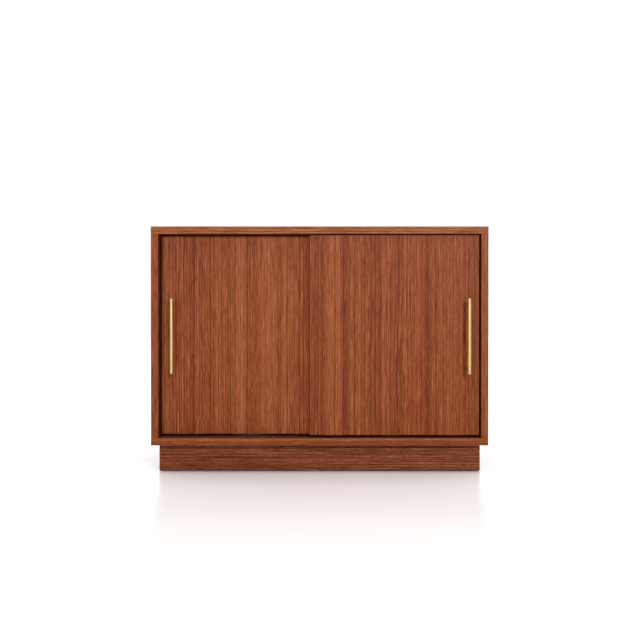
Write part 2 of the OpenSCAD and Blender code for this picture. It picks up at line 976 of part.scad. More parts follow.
// Wheel with a thinner web between hub and rim
module wheel(side, end) {
    r = wheel_d / 2;
    web_in = 1.3;
    rim = 3;
    hub_r = axle_d / 2 + rim;
    bevel = 0.6;
    translate([fitting_x(side, end, roller_inset), channel_y(side), wheel_z])
        rotate([90, 0, 0])
            rotate_extrude($fn = 96)
                difference() {
                    polygon([
                        [axle_d / 2 + run_clear, -wheel_w / 2], [r - bevel, -wheel_w / 2],
                        [r, -wheel_w / 2 + bevel], [r, wheel_w / 2 - bevel],
                        [r - bevel, wheel_w / 2], [axle_d / 2 + run_clear, wheel_w / 2]
                    ]);
                    for (s = [-1, 1])
                        translate([hub_r, s * wheel_w / 2 - web_in])
                            square([r - rim - hub_r, 2 * web_in]);
                }
}

module left_outer_roller_housing() {
    color(black_plastic)
        roller_housing(LEFT, OUTER);
}

module left_inner_roller_housing() {
    color(black_plastic)
        roller_housing(LEFT, INNER);
}

module right_outer_roller_housing() {
    color(black_plastic)
        roller_housing(RIGHT, OUTER);
}

module right_inner_roller_housing() {
    color(black_plastic)
        roller_housing(RIGHT, INNER);
}

module left_roller_axles() {
    color(steel)
        roller_axles(LEFT);
}

module right_roller_axles() {
    color(steel)
        roller_axles(RIGHT);
}

module left_roller_screws() {
    color(steel)
        roller_screws(LEFT);
}

module right_roller_screws() {
    color(steel)
        roller_screws(RIGHT);
}

module left_outer_wheel() {
    color(nylon)
        wheel(LEFT, OUTER);
}

module left_inner_wheel() {
    color(nylon)
        wheel(LEFT, INNER);
}

module right_outer_wheel() {
    color(nylon)
        wheel(RIGHT, OUTER);
}

module right_inner_wheel() {
    color(nylon)
        wheel(RIGHT, INNER);
}

// ---------- top guides ----------

// Sleeves in the door's upper edge: a neck for the pin over a chamber for its flange and spring
module guide_housings(side) {
    for (end = [OUTER, INNER])
        translate([fitting_x(side, end, guide_inset), channel_y(side), door_top - guide_housing_h])
            difference() {
                cylinder(r = guide_housing_d / 2, h = guide_housing_h);
                rod_z([0, 0, chamber_wall], chamber_r, flange_t + spring_len);
                rod_z([0, 0, chamber_wall], guide_d / 2 + run_clear, guide_housing_h);
            }
}

// Round-nosed pin with a flange that the spring pushes up against the neck
module guide_pin(side, end) {
    nose = 2;
    r = guide_d / 2;
    tail_r = flange_r - wire_d - 1;
    tail = 3;
    shank = guide_neck + guide_out - nose;
    translate([fitting_x(side, end, guide_inset), channel_y(side), spring_top])
        rotate_extrude()
            union() {
                translate([0, -tail])
                    square([tail_r, tail + 1]);
                square([flange_r, flange_t]);
                square([r, flange_t + shank]);
                square([r - nose, flange_t + shank + nose]);
                translate([r - nose, flange_t + shank])
                    intersection() {
                        circle(nose);
                        square(nose);
                    }
            }
}

// Coil swept along a helix, from the chamber's floor to the pin's flange
module guide_spring(side, end) {
    turns = 6;
    steps = 12;
    sides = 6;
    rings = turns * steps;
    wire_r = wire_d / 2;
    coil_r = flange_r - wire_r;
    rise = spring_len - wire_d - 0.1;
    points = [
        for (i = [0:rings])
            let (a = i * 360 / steps)
            for (j = [0:sides - 1])
                let (b = j * 360 / sides, rr = coil_r + wire_r * cos(b))
                [rr * cos(a), rr * sin(a), rise * i / rings + wire_r * sin(b)]
    ];
    skin = [
        for (i = [0:rings - 1], j = [0:sides - 1])
            let (k = (j + 1) % sides)
            [i * sides + j, i * sides + k, (i + 1) * sides + k, (i + 1) * sides + j]
    ];
    ends = [
        [for (j = [sides - 1:-1:0]) j],
        [for (j = [0:sides - 1]) rings * sides + j]
    ];
    translate([fitting_x(side, end, guide_inset), channel_y(side),
        spring_top - spring_len + wire_r + 0.05])
        polyhedron(points, concat(skin, ends), convexity = 10);
}

module left_guide_housings() {
    color(black_plastic)
        guide_housings(LEFT);
}

module right_guide_housings() {
    color(black_plastic)
        guide_housings(RIGHT);
}

module left_outer_guide_pin() {
    color(nylon)
        guide_pin(LEFT, OUTER);
}

module left_inner_guide_pin() {
    color(nylon)
        guide_pin(LEFT, INNER);
}

module right_outer_guide_pin() {
    color(nylon)
        guide_pin(RIGHT, OUTER);
}

module right_inner_guide_pin() {
    color(nylon)
        guide_pin(RIGHT, INNER);
}

module left_outer_guide_spring() {
    color(steel)
        guide_spring(LEFT, OUTER);
}

module left_inner_guide_spring() {
    color(steel)
        guide_spring(LEFT, INNER);
}

module right_outer_guide_spring() {
    color(steel)
        guide_spring(RIGHT, OUTER);
}

module right_inner_guide_spring() {
    color(steel)
        guide_spring(RIGHT, INNER);
}

top_panel();
bottom_panel();
left_side();
right_side();
center_divider();
back_panel();
left_shelf();
right_shelf();
left_shelf_pins();
right_shelf_pins();
plinth_front();
plinth_back();
plinth_left();
plinth_right();
plinth_corner_blocks();
plinth_screws();
floor_glides();
case_dowels();
cam_bolts();
cam_discs();
top_track();
bottom_track();
track_screws();
door_bumpers();
left_cable_grommet();
right_cable_grommet();
left_door();
left_handle_bar();
left_handle_posts();
left_handle_screws();
left_outer_roller_housing();
left_inner_roller_housing();
left_roller_axles();
left_roller_screws();
left_outer_wheel();
left_inner_wheel();
left_guide_housings();
left_outer_guide_pin();
left_inner_guide_pin();
left_outer_guide_spring();
left_inner_guide_spring();
right_door();
right_handle_bar();
right_handle_posts();
right_handle_screws();
right_outer_roller_housing();
right_inner_roller_housing();
right_roller_axles();
right_roller_screws();
right_outer_wheel();
right_inner_wheel();
right_guide_housings();
right_outer_guide_pin();
right_inner_guide_pin();
right_outer_guide_spring();
right_inner_guide_spring();
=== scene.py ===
"""Media cabinet with two by-pass sliding doors: materials, detail pieces, light and camera."""

import math

import bpy
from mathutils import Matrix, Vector


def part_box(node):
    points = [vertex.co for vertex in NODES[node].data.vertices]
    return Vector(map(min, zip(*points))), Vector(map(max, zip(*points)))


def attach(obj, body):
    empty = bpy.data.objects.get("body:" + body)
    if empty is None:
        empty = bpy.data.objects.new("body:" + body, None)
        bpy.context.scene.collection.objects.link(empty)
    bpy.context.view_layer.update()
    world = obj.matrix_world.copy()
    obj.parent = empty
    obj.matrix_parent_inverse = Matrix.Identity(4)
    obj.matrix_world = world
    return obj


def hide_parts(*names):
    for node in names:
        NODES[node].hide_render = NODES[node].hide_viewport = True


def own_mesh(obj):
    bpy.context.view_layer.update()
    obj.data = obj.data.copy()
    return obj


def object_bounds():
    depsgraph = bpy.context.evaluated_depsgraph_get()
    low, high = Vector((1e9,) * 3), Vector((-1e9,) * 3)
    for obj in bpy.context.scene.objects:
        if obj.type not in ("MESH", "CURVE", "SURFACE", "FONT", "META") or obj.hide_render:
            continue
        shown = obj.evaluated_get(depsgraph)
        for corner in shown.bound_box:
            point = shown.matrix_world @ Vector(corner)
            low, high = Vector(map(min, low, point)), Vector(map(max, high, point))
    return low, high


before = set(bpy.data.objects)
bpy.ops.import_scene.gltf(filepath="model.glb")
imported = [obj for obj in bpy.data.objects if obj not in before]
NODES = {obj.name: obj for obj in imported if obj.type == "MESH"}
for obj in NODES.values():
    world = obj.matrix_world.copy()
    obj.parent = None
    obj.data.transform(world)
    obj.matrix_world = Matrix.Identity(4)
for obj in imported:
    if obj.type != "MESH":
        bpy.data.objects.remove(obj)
CAD_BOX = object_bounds()

# Camera
CAMERA_X = 0.001
CAMERA_DISTANCE = 2.357      # from the front edges of the case
CAMERA_HEIGHT = 0.424
CAMERA_PITCH = 0.33          # degrees downwards
FOCAL_LENGTH = 48.98         # mm
SENSOR_WIDTH = 36.0
SHIFT_Y = 0.00356
FAR_CLIP = 100.0

# Stage
FLOOR_SIZE = 30.0
FLOOR_TONE = (0.96, 0.945, 0.943)
# Painted shade on the floor by metres in front of the plinth: a darker band for the cabinet's
# reflection and shadow
FLOOR_PAINTED_SHADE = [(0.0, 1.0), (0.2, 1.0), (0.45, 0.92), (0.75, 0.85), (1.0, 0.97)]
GLOSS_ROUGHNESS = 0.22       # of the floor close in front of the plinth
GLOSS_SPECULAR = 0.27
GLOSS_FADE = [(0.0, 0.0), (0.45, 0.06), (0.75, 0.35), (1.0, 1.0)]    # by the same metres
WORLD_BACK = 1.35            # light from behind the cabinet
WORLD_FRONT = 0.07           # light from the viewer's side, beside the lamps
WORLD_TOP = 1.50

# Lamps: two small keys behind the camera, one on each side, and a wide one overhead
KEY_SIDE = 1.6
KEY_AWAY = 4.7
KEY_HEIGHT = 1.75
KEY_SIZE = 0.28
KEY_SPREAD = 100
KEY_LEFT_POWER = 16.5
KEY_RIGHT_POWER = 33.5
OVERHEAD_PLACE = (0.0, -0.9, 3.2)
OVERHEAD_AIM = (0.0, -0.5, 0.0)
OVERHEAD_SIZE = 2.6
OVERHEAD_POWER = 15

# Veneer
SQUARE_ON = 0.7              # share of a face's normal along an axis, above which it faces it
RIB = 0.0088                 # usual distance from one dark line of the grain to the next
RIB_WANDER = 5.0             # how many of those distances a line may stray
RIB_WANDER_SCALE = (22.0, 22.0, 0.12)
RIB_LINE = [(0.0, 0.66), (0.78, 0.60), (0.93, 0.10), (1.0, -0.60)]
RIB_BREAKS = 90.0            # breaks per metre across the grain
RIB_BREAKS_ALONG = 4.0       # and along it
RIB_SHARE = 0.32
# Layers of grain: streaks per metre across, streaks per metre along, share
GRAIN_LAYERS = [
    (26.0, 0.12, 0.32),
    (75.0, 0.2, 0.10),
    (180.0, 0.3, 0.12),
    (460.0, 0.4, 0.75),
    (620.0, 15.0, 0.40),
    (850.0, 60.0, 0.60),
]
FINE_GRAIN = (900.0, 900.0, 16.0)
FINE_SHARE = 0.95
WAVE_SIZE = 0.003
WAVE_SCALE = (4.0, 4.0, 0.5)
PORE_SCALE = (1500.0, 1500.0, 55.0)
PORE_SHADE = (0.62, 0.52, 0.48, 1.0)
PORE_STRENGTH = 0.55
WOOD_TONES = [
    (0.0, (78, 24, 2)),
    (0.28, (115, 50, 14)),
    (0.5, (143, 71, 29)),
    (0.72, (164, 92, 50)),
    (1.0, (194, 125, 84)),
]
PATCH_SCALE = (36.0, 36.0, 0.35)
REDDER = (1.0, 0.86, 0.84, 1.0)
WOOD_DEPTH = 0.72            # how dark the stained veneer is
# painted shade on the faces inside the case, multiplied into the veneer's colour
INSIDE_PAINTED_SHADE = (0.42, 0.36, 0.34, 1.0)
WOOD_SPECULAR = 0.12
WOOD_ROUGHNESS = 0.45
WOOD_ROUGHNESS_SPREAD = 0.25
WOOD_RELIEF = 0.25
WOOD_RELIEF_DEPTH = 0.0004
BAND_STRENGTH = 1.15
OVAL_RINGS = [(0.0, 0.24), (0.06, 0.36), (0.14, 0.52), (0.26, 0.44),
              (0.36, 0.55), (0.48, 0.42), (0.62, 0.52), (0.80, 0.50)]
# The plinth's veneer: stronger, shorter grain, and painted shade, darker and bluer, for the shade
# under the case
PLINTH_GRAIN_AND_SHADE = {"light": 0.91, "contrast": 1.5, "dash": 4.5, "tint": (1.0, 1.03, 1.2)}


# ---------- node-tree helpers ----------

def srgb(r, g, b):
    """Linear colour of an 8-bit display colour."""
    def linear(v):
        v /= 255
        return v / 12.92 if v <= 0.04045 else ((v + 0.055) / 1.055) ** 2.4
    return (linear(r), linear(g), linear(b), 1.0)


def feed(tree, value, socket):
    """Links a socket, or sets a plain number or colour."""
    if isinstance(value, bpy.types.NodeSocket):
        tree.links.new(value, socket)
    else:
        socket.default_value = value


def maths(tree, operation, a, b=0.0, c=0.0):
    node = tree.nodes.new("ShaderNodeMath")
    node.operation = operation
    for value, socket in zip((a, b, c), node.inputs):
        feed(tree, value, socket)
    return node.outputs[0]


def vector_maths(tree, operation, a, b):
    node = tree.nodes.new("ShaderNodeVectorMath")
    node.operation = operation
    feed(tree, a, node.inputs[0])
    feed(tree, b, node.inputs[1])
    return node.outputs[0]


def noise(tree, place, scale, detail=2.0, roughness=0.5):
    """Noise from 0 to 1, stretched by a scale for each axis."""
    node = tree.nodes.new("ShaderNodeTexNoise")
    feed(tree, vector_maths(tree, "MULTIPLY", place, scale), node.inputs["Vector"])
    node.inputs["Scale"].default_value = 1.0
    node.inputs["Detail"].default_value = detail
    node.inputs["Roughness"].default_value = roughness
    return node.outputs["Fac"]


def ramp(tree, fac, stops, interpolation="LINEAR"):
    """Colour ramp; each stop is (place, colour) and a plain number is a grey."""
    node = tree.nodes.new("ShaderNodeValToRGB")
    node.color_ramp.interpolation = interpolation
    elements = node.color_ramp.elements
    while len(elements) < len(stops):
        elements.new(1.0)
    for element, (place, colour) in zip(elements, stops):
        element.position = place
        element.color = colour if isinstance(colour, tuple) else (colour, colour, colour, 1.0)
    feed(tree, fac, node.inputs["Fac"])
    return node.outputs["Color"]


def mix_colour(tree, fac, a, b, blend="MIX"):
    node = tree.nodes.new("ShaderNodeMix")
    node.data_type = "RGBA"
    node.blend_type = blend
    feed(tree, fac, node.inputs[0])
    feed(tree, a, node.inputs[6])
    feed(tree, b, node.inputs[7])
    return node.outputs[2]


def mix_value(tree, fac, a, b):
    node = tree.nodes.new("ShaderNodeMix")
    node.data_type = "FLOAT"
    feed(tree, fac, node.inputs[0])
    feed(tree, a, node.inputs[2])
    feed(tree, b, node.inputs[3])
    return node.outputs[0]


def bump(tree, shader, height, strength, distance):
    node = tree.nodes.new("ShaderNodeBump")
    node.inputs["Strength"].default_value = strength
    node.inputs["Distance"].default_value = distance
    feed(tree, height, node.inputs["Height"])
    tree.links.new(node.outputs["Normal"], shader.inputs["Normal"])


def new_material(name, roughness, metallic, specular):
    material = bpy.data.materials.new(name)
    material.use_nodes = True
    shader = material.node_tree.nodes["Principled BSDF"]
    shader.inputs["Roughness"].default_value = roughness
    shader.inputs["Metallic"].default_value = metallic
    shader.inputs["Specular IOR Level"].default_value = specular
    return material, material.node_tree, shader


def axes_of(tree, vector):
    node = tree.nodes.new("ShaderNodeSeparateXYZ")
    tree.links.new(vector, node.inputs[0])
    return list(node.outputs)


def joined(tree, x, y, z):
    node = tree.nodes.new("ShaderNodeCombineXYZ")
    for value, socket in zip((x, y, z), node.inputs):
        feed(tree, value, socket)
    return node.outputs[0]


# ---------- wood ----------

def board_place(tree, grain, end_axis, seed):
    """Place in a board as (across, through, along the grain), in metres.

    On faces square to the grain, which carry an edge band, the grain runs along end_axis."""
    source = tree.nodes.new("ShaderNodeTexCoord")
    place = axes_of(tree, source.outputs["Object"])
    normal = axes_of(tree, source.outputs["Normal"])
    facing = maths(tree, "ABSOLUTE", normal[grain])
    on_end = maths(tree, "GREATER_THAN", facing, SQUARE_ON)
    across, through = [i for i in range(3) if i != grain]
    along = mix_value(tree, on_end, place[grain], place[end_axis])
    parts = []
    for axis in (across, through):
        if axis == end_axis:
            parts.append(mix_value(tree, on_end, place[axis], place[grain]))
        else:
            parts.append(place[axis])
    offset = (seed * 1.37, seed * 2.11, seed * 0.73)
    moved = vector_maths(tree, "ADD", joined(tree, parts[0], parts[1], along), offset)
    return moved, place[across], place[grain]


def waved(tree, place, size, scale):
    """The place moved sideways by a slow wave, so the grain isn't ruled with a ruler."""
    wave = maths(tree, "SUBTRACT", noise(tree, place, scale, 1.0), 0.5)
    shift = maths(tree, "MULTIPLY", wave, size)
    return vector_maths(tree, "ADD", place, joined(tree, shift, shift, 0.0)), shift


def ribs(tree, place, dash, share):
    """Tone around 0.5 with thin dark lines side by side, wandering and broken here and there."""
    across, through = axes_of(tree, place)[:2]
    wander = noise(tree, place, RIB_WANDER_SCALE, 2.0)
    turns = maths(tree, "DIVIDE", maths(tree, "ADD", across, through), RIB)
    turns = maths(tree, "MULTIPLY_ADD", wander, RIB_WANDER, turns)
    wave = maths(tree, "SINE", maths(tree, "MULTIPLY", turns, math.tau))
    line = ramp(tree, maths(tree, "MULTIPLY_ADD", wave, 0.5, 0.5), RIB_LINE, "EASE")
    breaks = noise(tree, place, (RIB_BREAKS, RIB_BREAKS, RIB_BREAKS_ALONG * dash), 2.0)
    broken = ramp(tree, breaks, [(0.3, 0.3), (0.6, 1.0)])
    centred = maths(tree, "SUBTRACT", line, 0.5)
    return maths(tree, "MULTIPLY_ADD", maths(tree, "MULTIPLY", centred, broken), share, 0.5)


def grain_tone(tree, place, contrast, dash):
    """Tone around 0.5 out of bands, streaks and fine dashes along the third axis.

    A dash above 1 makes the streaks shorter."""
    tone = ribs(tree, place, dash, RIB_SHARE * contrast)
    for across, along, share in GRAIN_LAYERS:
        part = noise(tree, place, (across, across, along * dash), 1.0)
        centred = maths(tree, "SUBTRACT", part, 0.5)
        tone = maths(tree, "MULTIPLY_ADD", centred, share * contrast, tone)
    fine = maths(tree, "SUBTRACT", noise(tree, place, FINE_GRAIN, 1.0), 0.5)
    return maths(tree, "MULTIPLY_ADD", fine, FINE_SHARE * contrast, tone), fine


def wood_pores(tree, place):
    """Short open pores along the grain, 1 where a pore is."""
    spots = noise(tree, place, PORE_SCALE, 1.0)
    return ramp(tree, spots, [(0.0, 0.0), (0.60, 0.0), (0.68, 1.0)])


def veneer_colour(tree, place, tone, light, tint):
    """The stained wood's colour for a tone of the grain, redder in patches."""
    stops = [(at, srgb(*[c * light for c in colour])) for at, colour in WOOD_TONES]
    colour = ramp(tree, tone, stops)
    redness = ramp(tree, noise(tree, place, PATCH_SCALE, 1.0), [(0.35, 0.0), (0.65, 1.0)])
    redder = mix_colour(tree, 1.0, colour, REDDER, "MULTIPLY")
    colour = mix_colour(tree, redness, redder, colour)
    depth = [WOOD_DEPTH * share for share in tint]
    return mix_colour(tree, 1.0, colour, (*depth, 1.0), "MULTIPLY")


def veneer(name, grain=2, end_axis=0, seed=1.0, light=1.0, contrast=1.0, dash=1.0,
           tint=(1.0, 1.0, 1.0), figure=None, inside=None):
    """Reddish-brown straight-grained veneer under a satin lacquer.

    The faces that look into the case, given as (axis, sign), get painted shade: a darker colour that
    stands in for the shade inside the case."""
    material, tree, shader = new_material(name, WOOD_ROUGHNESS, 0.0, WOOD_SPECULAR)
    place, across, along = board_place(tree, grain, end_axis, seed)
    place, shift = waved(tree, place, WAVE_SIZE, WAVE_SCALE)
    if figure:
        place, extra = figure(tree, place, maths(tree, "ADD", across, shift), along)
    tone, fine = grain_tone(tree, place, contrast, dash)
    if figure:
        tone = maths(tree, "ADD", tone, extra)
    colour = veneer_colour(tree, place, tone, light, tint)
    pores = wood_pores(tree, place)
    shade = mix_colour(tree, 1.0, colour, PORE_SHADE, "MULTIPLY")
    colour = mix_colour(tree, maths(tree, "MULTIPLY", pores, PORE_STRENGTH), colour, shade)
    # painted shade on the faces that look into the case
    if inside:
        colour = painted_inside_shade(tree, colour, *inside)
    feed(tree, colour, shader.inputs["Base Color"])
    rough = maths(tree, "MULTIPLY_ADD", fine, WOOD_ROUGHNESS_SPREAD, WOOD_ROUGHNESS)
    feed(tree, rough, shader.inputs["Roughness"])
    height = maths(tree, "MULTIPLY_ADD", pores, -0.7, fine)
    bump(tree, shader, height, WOOD_RELIEF, WOOD_RELIEF_DEPTH)
    return material


def painted_inside_shade(tree, colour, axis, sign):
    """Painted shade: a darker colour on the faces that look along an axis, into the case, for the
    shade inside it.
    """
    source = tree.nodes.new("ShaderNodeTexCoord")
    normal = axes_of(tree, source.outputs["Normal"])
    towards = maths(tree, "MULTIPLY", normal[axis], sign)
    facing = maths(tree, "GREATER_THAN", towards, SQUARE_ON)
    dark = mix_colour(tree, 1.0, colour, INSIDE_PAINTED_SHADE, "MULTIPLY")
    return mix_colour(tree, facing, colour, dark)


def bands(door, marks, oval=None):
    """Figure of listed bands across a door: each mark is (mm from its left edge, tone change).

    An oval is (mm from the left edge, middle height, half width, half height) in metres but for
    the first: the grain bows round it as in a small cathedral."""
    low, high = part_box(door)
    width = high.x - low.x

    def figure(tree, place, across, along):
        share = maths(tree, "DIVIDE", maths(tree, "SUBTRACT", across, low.x), width)
        stops = [(mm / 1000 / width, 0.5 + tone) for mm, tone in marks]
        line = ramp(tree, share, [(0.0, 0.5), *stops, (1.0, 0.5)], "EASE")
        tone = maths(tree, "MULTIPLY", maths(tree, "SUBTRACT", line, 0.5), BAND_STRENGTH)
        if oval:
            place, ring = cathedral(tree, place, across, along, low.x + oval[0] / 1000, *oval[1:])
            tone = maths(tree, "ADD", tone, ring)
        return place, tone
    return figure


def cathedral(tree, place, across, along, middle, height, half_width, half_height):
    """Grain that bows round a long narrow oval, with a pale rim and a small dark heart."""
    u = maths(tree, "DIVIDE", maths(tree, "SUBTRACT", across, middle), half_width)
    v = maths(tree, "DIVIDE", maths(tree, "SUBTRACT", along, height), half_height)
    square = maths(tree, "ADD", maths(tree, "MULTIPLY", u, u), maths(tree, "MULTIPLY", v, v))
    radius = maths(tree, "SQRT", square)
    near = maths(tree, "EXPONENT", maths(tree, "MULTIPLY", square, -0.8))
    bow = maths(tree, "MULTIPLY", maths(tree, "MULTIPLY", u, near), -0.55 * half_width)
    place = vector_maths(tree, "ADD", place, joined(tree, bow, 0.0, 0.0))
    rings = ramp(tree, maths(tree, "MULTIPLY", radius, 0.5), OVAL_RINGS, "EASE")
    return place, maths(tree, "SUBTRACT", rings, 0.5)


def plain_wood(name, dark, light, seed):
    """Bare pale wood with faint grain and flecks, the same way on every small piece."""
    material, tree, shader = new_material(name, 0.62, 0.0, 0.3)
    source = tree.nodes.new("ShaderNodeTexCoord")
    place = vector_maths(tree, "ADD", source.outputs["Object"], (seed, seed, seed))
    streak = noise(tree, place, (220.0, 220.0, 9.0), 3.0, 0.6)
    fleck = ramp(tree, noise(tree, place, (900.0, 900.0, 130.0), 1.0), [(0.58, 0.0), (0.66, 1.0)])
    colour = ramp(tree, streak, [(0.25, dark), (0.75, light)])
    flecked = mix_colour(tree, maths(tree, "MULTIPLY", fleck, 0.35), colour, dark)
    feed(tree, flecked, shader.inputs["Base Color"])
    bump(tree, shader, streak, 0.2, 0.0004)
    return material


# ---------- metals and plastics ----------

BRUSH_LINES = 2600.0         # per metre across the brushing
BRUSH_LINES_ALONG = 30.0
BRUSH_SHADE = 0.86           # of the darkest lines


def brushed(name, colour, roughness, along, spread=0.10, metallic=1.0):
    """Metal with brush or die lines along one axis, in tone, roughness and relief."""
    material, tree, shader = new_material(name, roughness, metallic, 0.5 * metallic)
    source = tree.nodes.new("ShaderNodeTexCoord")
    scale = [BRUSH_LINES, BRUSH_LINES, BRUSH_LINES]
    scale[along] = BRUSH_LINES_ALONG
    lines = noise(tree, source.outputs["Object"], scale, 2.0)
    cloud = noise(tree, source.outputs["Object"], (28.0, 28.0, 28.0), 2.0)
    darker = (*[c * BRUSH_SHADE for c in colour[:3]], 1.0)
    feed(tree, ramp(tree, lines, [(0.3, darker), (0.7, colour)]), shader.inputs["Base Color"])
    rough = maths(tree, "MULTIPLY_ADD", lines, spread, roughness - spread * 0.75)
    feed(tree, maths(tree, "MULTIPLY_ADD", cloud, spread * 0.5, rough), shader.inputs["Roughness"])
    bump(tree, shader, lines, 0.12, 0.0001)
    return material


def plated(name, colour, roughness):
    """Plated small part: cloudy, with a fine cast grain."""
    material, tree, shader = new_material(name, roughness, 1.0, 0.5)
    source = tree.nodes.new("ShaderNodeTexCoord")
    cloud = noise(tree, source.outputs["Object"], (260.0, 260.0, 260.0), 3.0)
    grit = noise(tree, source.outputs["Object"], (2400.0, 2400.0, 2400.0), 1.0)
    darker = (*[c * 0.78 for c in colour[:3]], 1.0)
    feed(tree, ramp(tree, cloud, [(0.3, darker), (0.7, colour)]), shader.inputs["Base Color"])
    feed(tree, maths(tree, "MULTIPLY_ADD", cloud, 0.16, roughness - 0.08), shader.inputs["Roughness"])
    bump(tree, shader, grit, 0.1, 0.0001)
    return material


def moulded(name, colour, roughness, grain, specular=0.4):
    """Moulded plastic or rubber with a fine leathery grain and slight mottling."""
    material, tree, shader = new_material(name, roughness, 0.0, specular)
    source = tree.nodes.new("ShaderNodeTexCoord")
    cloud = noise(tree, source.outputs["Object"], (90.0, 90.0, 90.0), 3.0)
    grit = noise(tree, source.outputs["Object"], (1700.0, 1700.0, 1700.0), 2.0)
    lighter = (*[c * 1.35 for c in colour[:3]], 1.0)
    feed(tree, ramp(tree, cloud, [(0.3, colour), (0.75, lighter)]), shader.inputs["Base Color"])
    feed(tree, maths(tree, "MULTIPLY_ADD", grit, 0.14, roughness - 0.07), shader.inputs["Roughness"])
    bump(tree, shader, grit, grain, 0.0002)
    return material


# ---------- pieces ----------

SPRING_WIRE = 0.001
SPRING_TURNS = 6
SPRING_STEPS = 36            # rings in each turn
SPRING_SIDES = 12
SPRING_CLOSED = 0.75         # turns laid flat at each end


def spring_height(turn, rise):
    """Height of the wire after that many turns: flat end turns, even pitch between them."""
    open_turns = SPRING_TURNS - 2 * SPRING_CLOSED
    flat = SPRING_CLOSED * SPRING_WIRE
    if turn < SPRING_CLOSED:
        return turn * SPRING_WIRE
    if turn > SPRING_TURNS - SPRING_CLOSED:
        return rise - (SPRING_TURNS - turn) * SPRING_WIRE
    return flat + (turn - SPRING_CLOSED) / open_turns * (rise - 2 * flat)


def spring_mesh(name, low, high):
    """Round wire coiled inside a CAD spring's box."""
    wire = SPRING_WIRE / 2
    centre = (low + high) / 2
    coil = (high.x - low.x) / 2 - wire
    foot = low.z + wire
    rise = high.z - low.z - SPRING_WIRE
    rings = SPRING_TURNS * SPRING_STEPS
    points = []
    for i in range(rings + 1):
        turn = i / SPRING_STEPS
        angle = math.tau * turn
        out = Vector((math.cos(angle), math.sin(angle), 0.0))
        middle = Vector((centre.x, centre.y, foot + spring_height(turn, rise))) + out * coil
        for j in range(SPRING_SIDES):
            round_wire = math.tau * j / SPRING_SIDES
            lift = Vector((0.0, 0.0, math.sin(round_wire)))
            points.append(middle + (out * math.cos(round_wire) + lift) * wire)
    faces = []
    for i in range(rings):
        for j in range(SPRING_SIDES):
            k = (j + 1) % SPRING_SIDES
            a, b = i * SPRING_SIDES, (i + 1) * SPRING_SIDES
            faces.append((a + j, b + j, b + k, a + k))
    faces.append(tuple(range(SPRING_SIDES)))
    faces.append(tuple(rings * SPRING_SIDES + j for j in reversed(range(SPRING_SIDES))))
    mesh = bpy.data.meshes.new(name)
    mesh.from_pydata(points, [], faces)
    mesh.polygons.foreach_set("use_smooth", [True] * len(faces))
    return mesh


def make_springs(material):
    """Smooth coil springs in place of the faceted ones, each carried by its door unit."""
    for side in ("left", "right"):
        for end in ("outer", "inner"):
            node = f"{side}_{end}_guide_spring"
            low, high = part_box(node)
            mesh = spring_mesh(f"{side}_{end}_coil", low, high)
            mesh.materials.append(material)
            coil = bpy.data.objects.new(f"{side}_{end}_coil", mesh)
            bpy.context.scene.collection.objects.link(coil)
            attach(coil, f"{side}_door_unit")
            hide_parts(node)
            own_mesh(coil)


# ---------- stage, light, camera ----------

def make_floor():
    half = FLOOR_SIZE / 2
    mesh = bpy.data.meshes.new("floor")
    corners = [(-half, -half, 0), (half, -half, 0), (half, half, 0), (-half, half, 0)]
    mesh.from_pydata(corners, [], [(0, 1, 2, 3)])
    floor = bpy.data.objects.new("floor", mesh)
    bpy.context.scene.collection.objects.link(floor)
    material, tree, shader = new_material("floor_white", GLOSS_ROUGHNESS, 0.0, GLOSS_SPECULAR)
    source = tree.nodes.new("ShaderNodeTexCoord")
    cloud = noise(tree, source.outputs["Object"], (1.5, 1.5, 1.5), 3.0)
    tone = mix_colour(tree, cloud, (*FLOOR_TONE, 1.0), (*[c * 1.02 for c in FLOOR_TONE], 1.0))
    depth = axes_of(tree, source.outputs["Object"])[1]
    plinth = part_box("plinth_front")[0].y
    away = maths(tree, "SUBTRACT", plinth, depth)
    # painted shade: the floor darker in a band in front of the plinth, for the cabinet's reflection
    # and shadow
    tone = mix_colour(tree, 1.0, tone, ramp(tree, away, FLOOR_PAINTED_SHADE), "MULTIPLY")
    feed(tree, tone, shader.inputs["Base Color"])
    plain = tree.nodes.new("ShaderNodeBsdfDiffuse")
    feed(tree, tone, plain.inputs["Color"])
    blend = tree.nodes.new("ShaderNodeMixShader")
    feed(tree, ramp(tree, away, GLOSS_FADE, "EASE"), blend.inputs[0])
    tree.links.new(shader.outputs[0], blend.inputs[1])
    tree.links.new(plain.outputs[0], blend.inputs[2])
    tree.links.new(blend.outputs[0], tree.nodes["Material Output"].inputs["Surface"])
    mesh.materials.append(material)


def make_world():
    """White for the camera; for light, brighter above and behind the cabinet than in front."""
    world = bpy.data.worlds.new("studio")
    bpy.context.scene.world = world
    world.use_nodes = True
    tree = world.node_tree
    background = tree.nodes["Background"]
    path = tree.nodes.new("ShaderNodeLightPath")
    source = tree.nodes.new("ShaderNodeTexCoord")
    y, z = axes_of(tree, source.outputs["Generated"])[1:]
    front = ramp(tree, maths(tree, "MULTIPLY_ADD", y, 0.5, 0.5),
                 [(0.0, WORLD_FRONT), (0.50, WORLD_FRONT), (0.62, WORLD_BACK)])
    up = ramp(tree, z, [(0.55, 0.0), (0.9, 1.0)])
    light = mix_colour(tree, up, front, (WORLD_TOP, WORLD_TOP, WORLD_TOP, 1.0))
    white = (1.0, 1.0, 1.0, 1.0)
    seen = mix_colour(tree, path.outputs["Is Camera Ray"], light, white)
    feed(tree, seen, background.inputs["Color"])


def area_light(name, at, target, size, power, spread=180):
    data = bpy.data.lights.new(name, "AREA")
    data.shape = "DISK"
    data.size = size
    data.energy = power
    data.spread = math.radians(spread)
    light = bpy.data.objects.new(name, data)
    light.location = at
    aim = Vector(target) - Vector(at)
    light.rotation_euler = aim.to_track_quat("-Z", "Y").to_euler()
    bpy.context.scene.collection.objects.link(light)


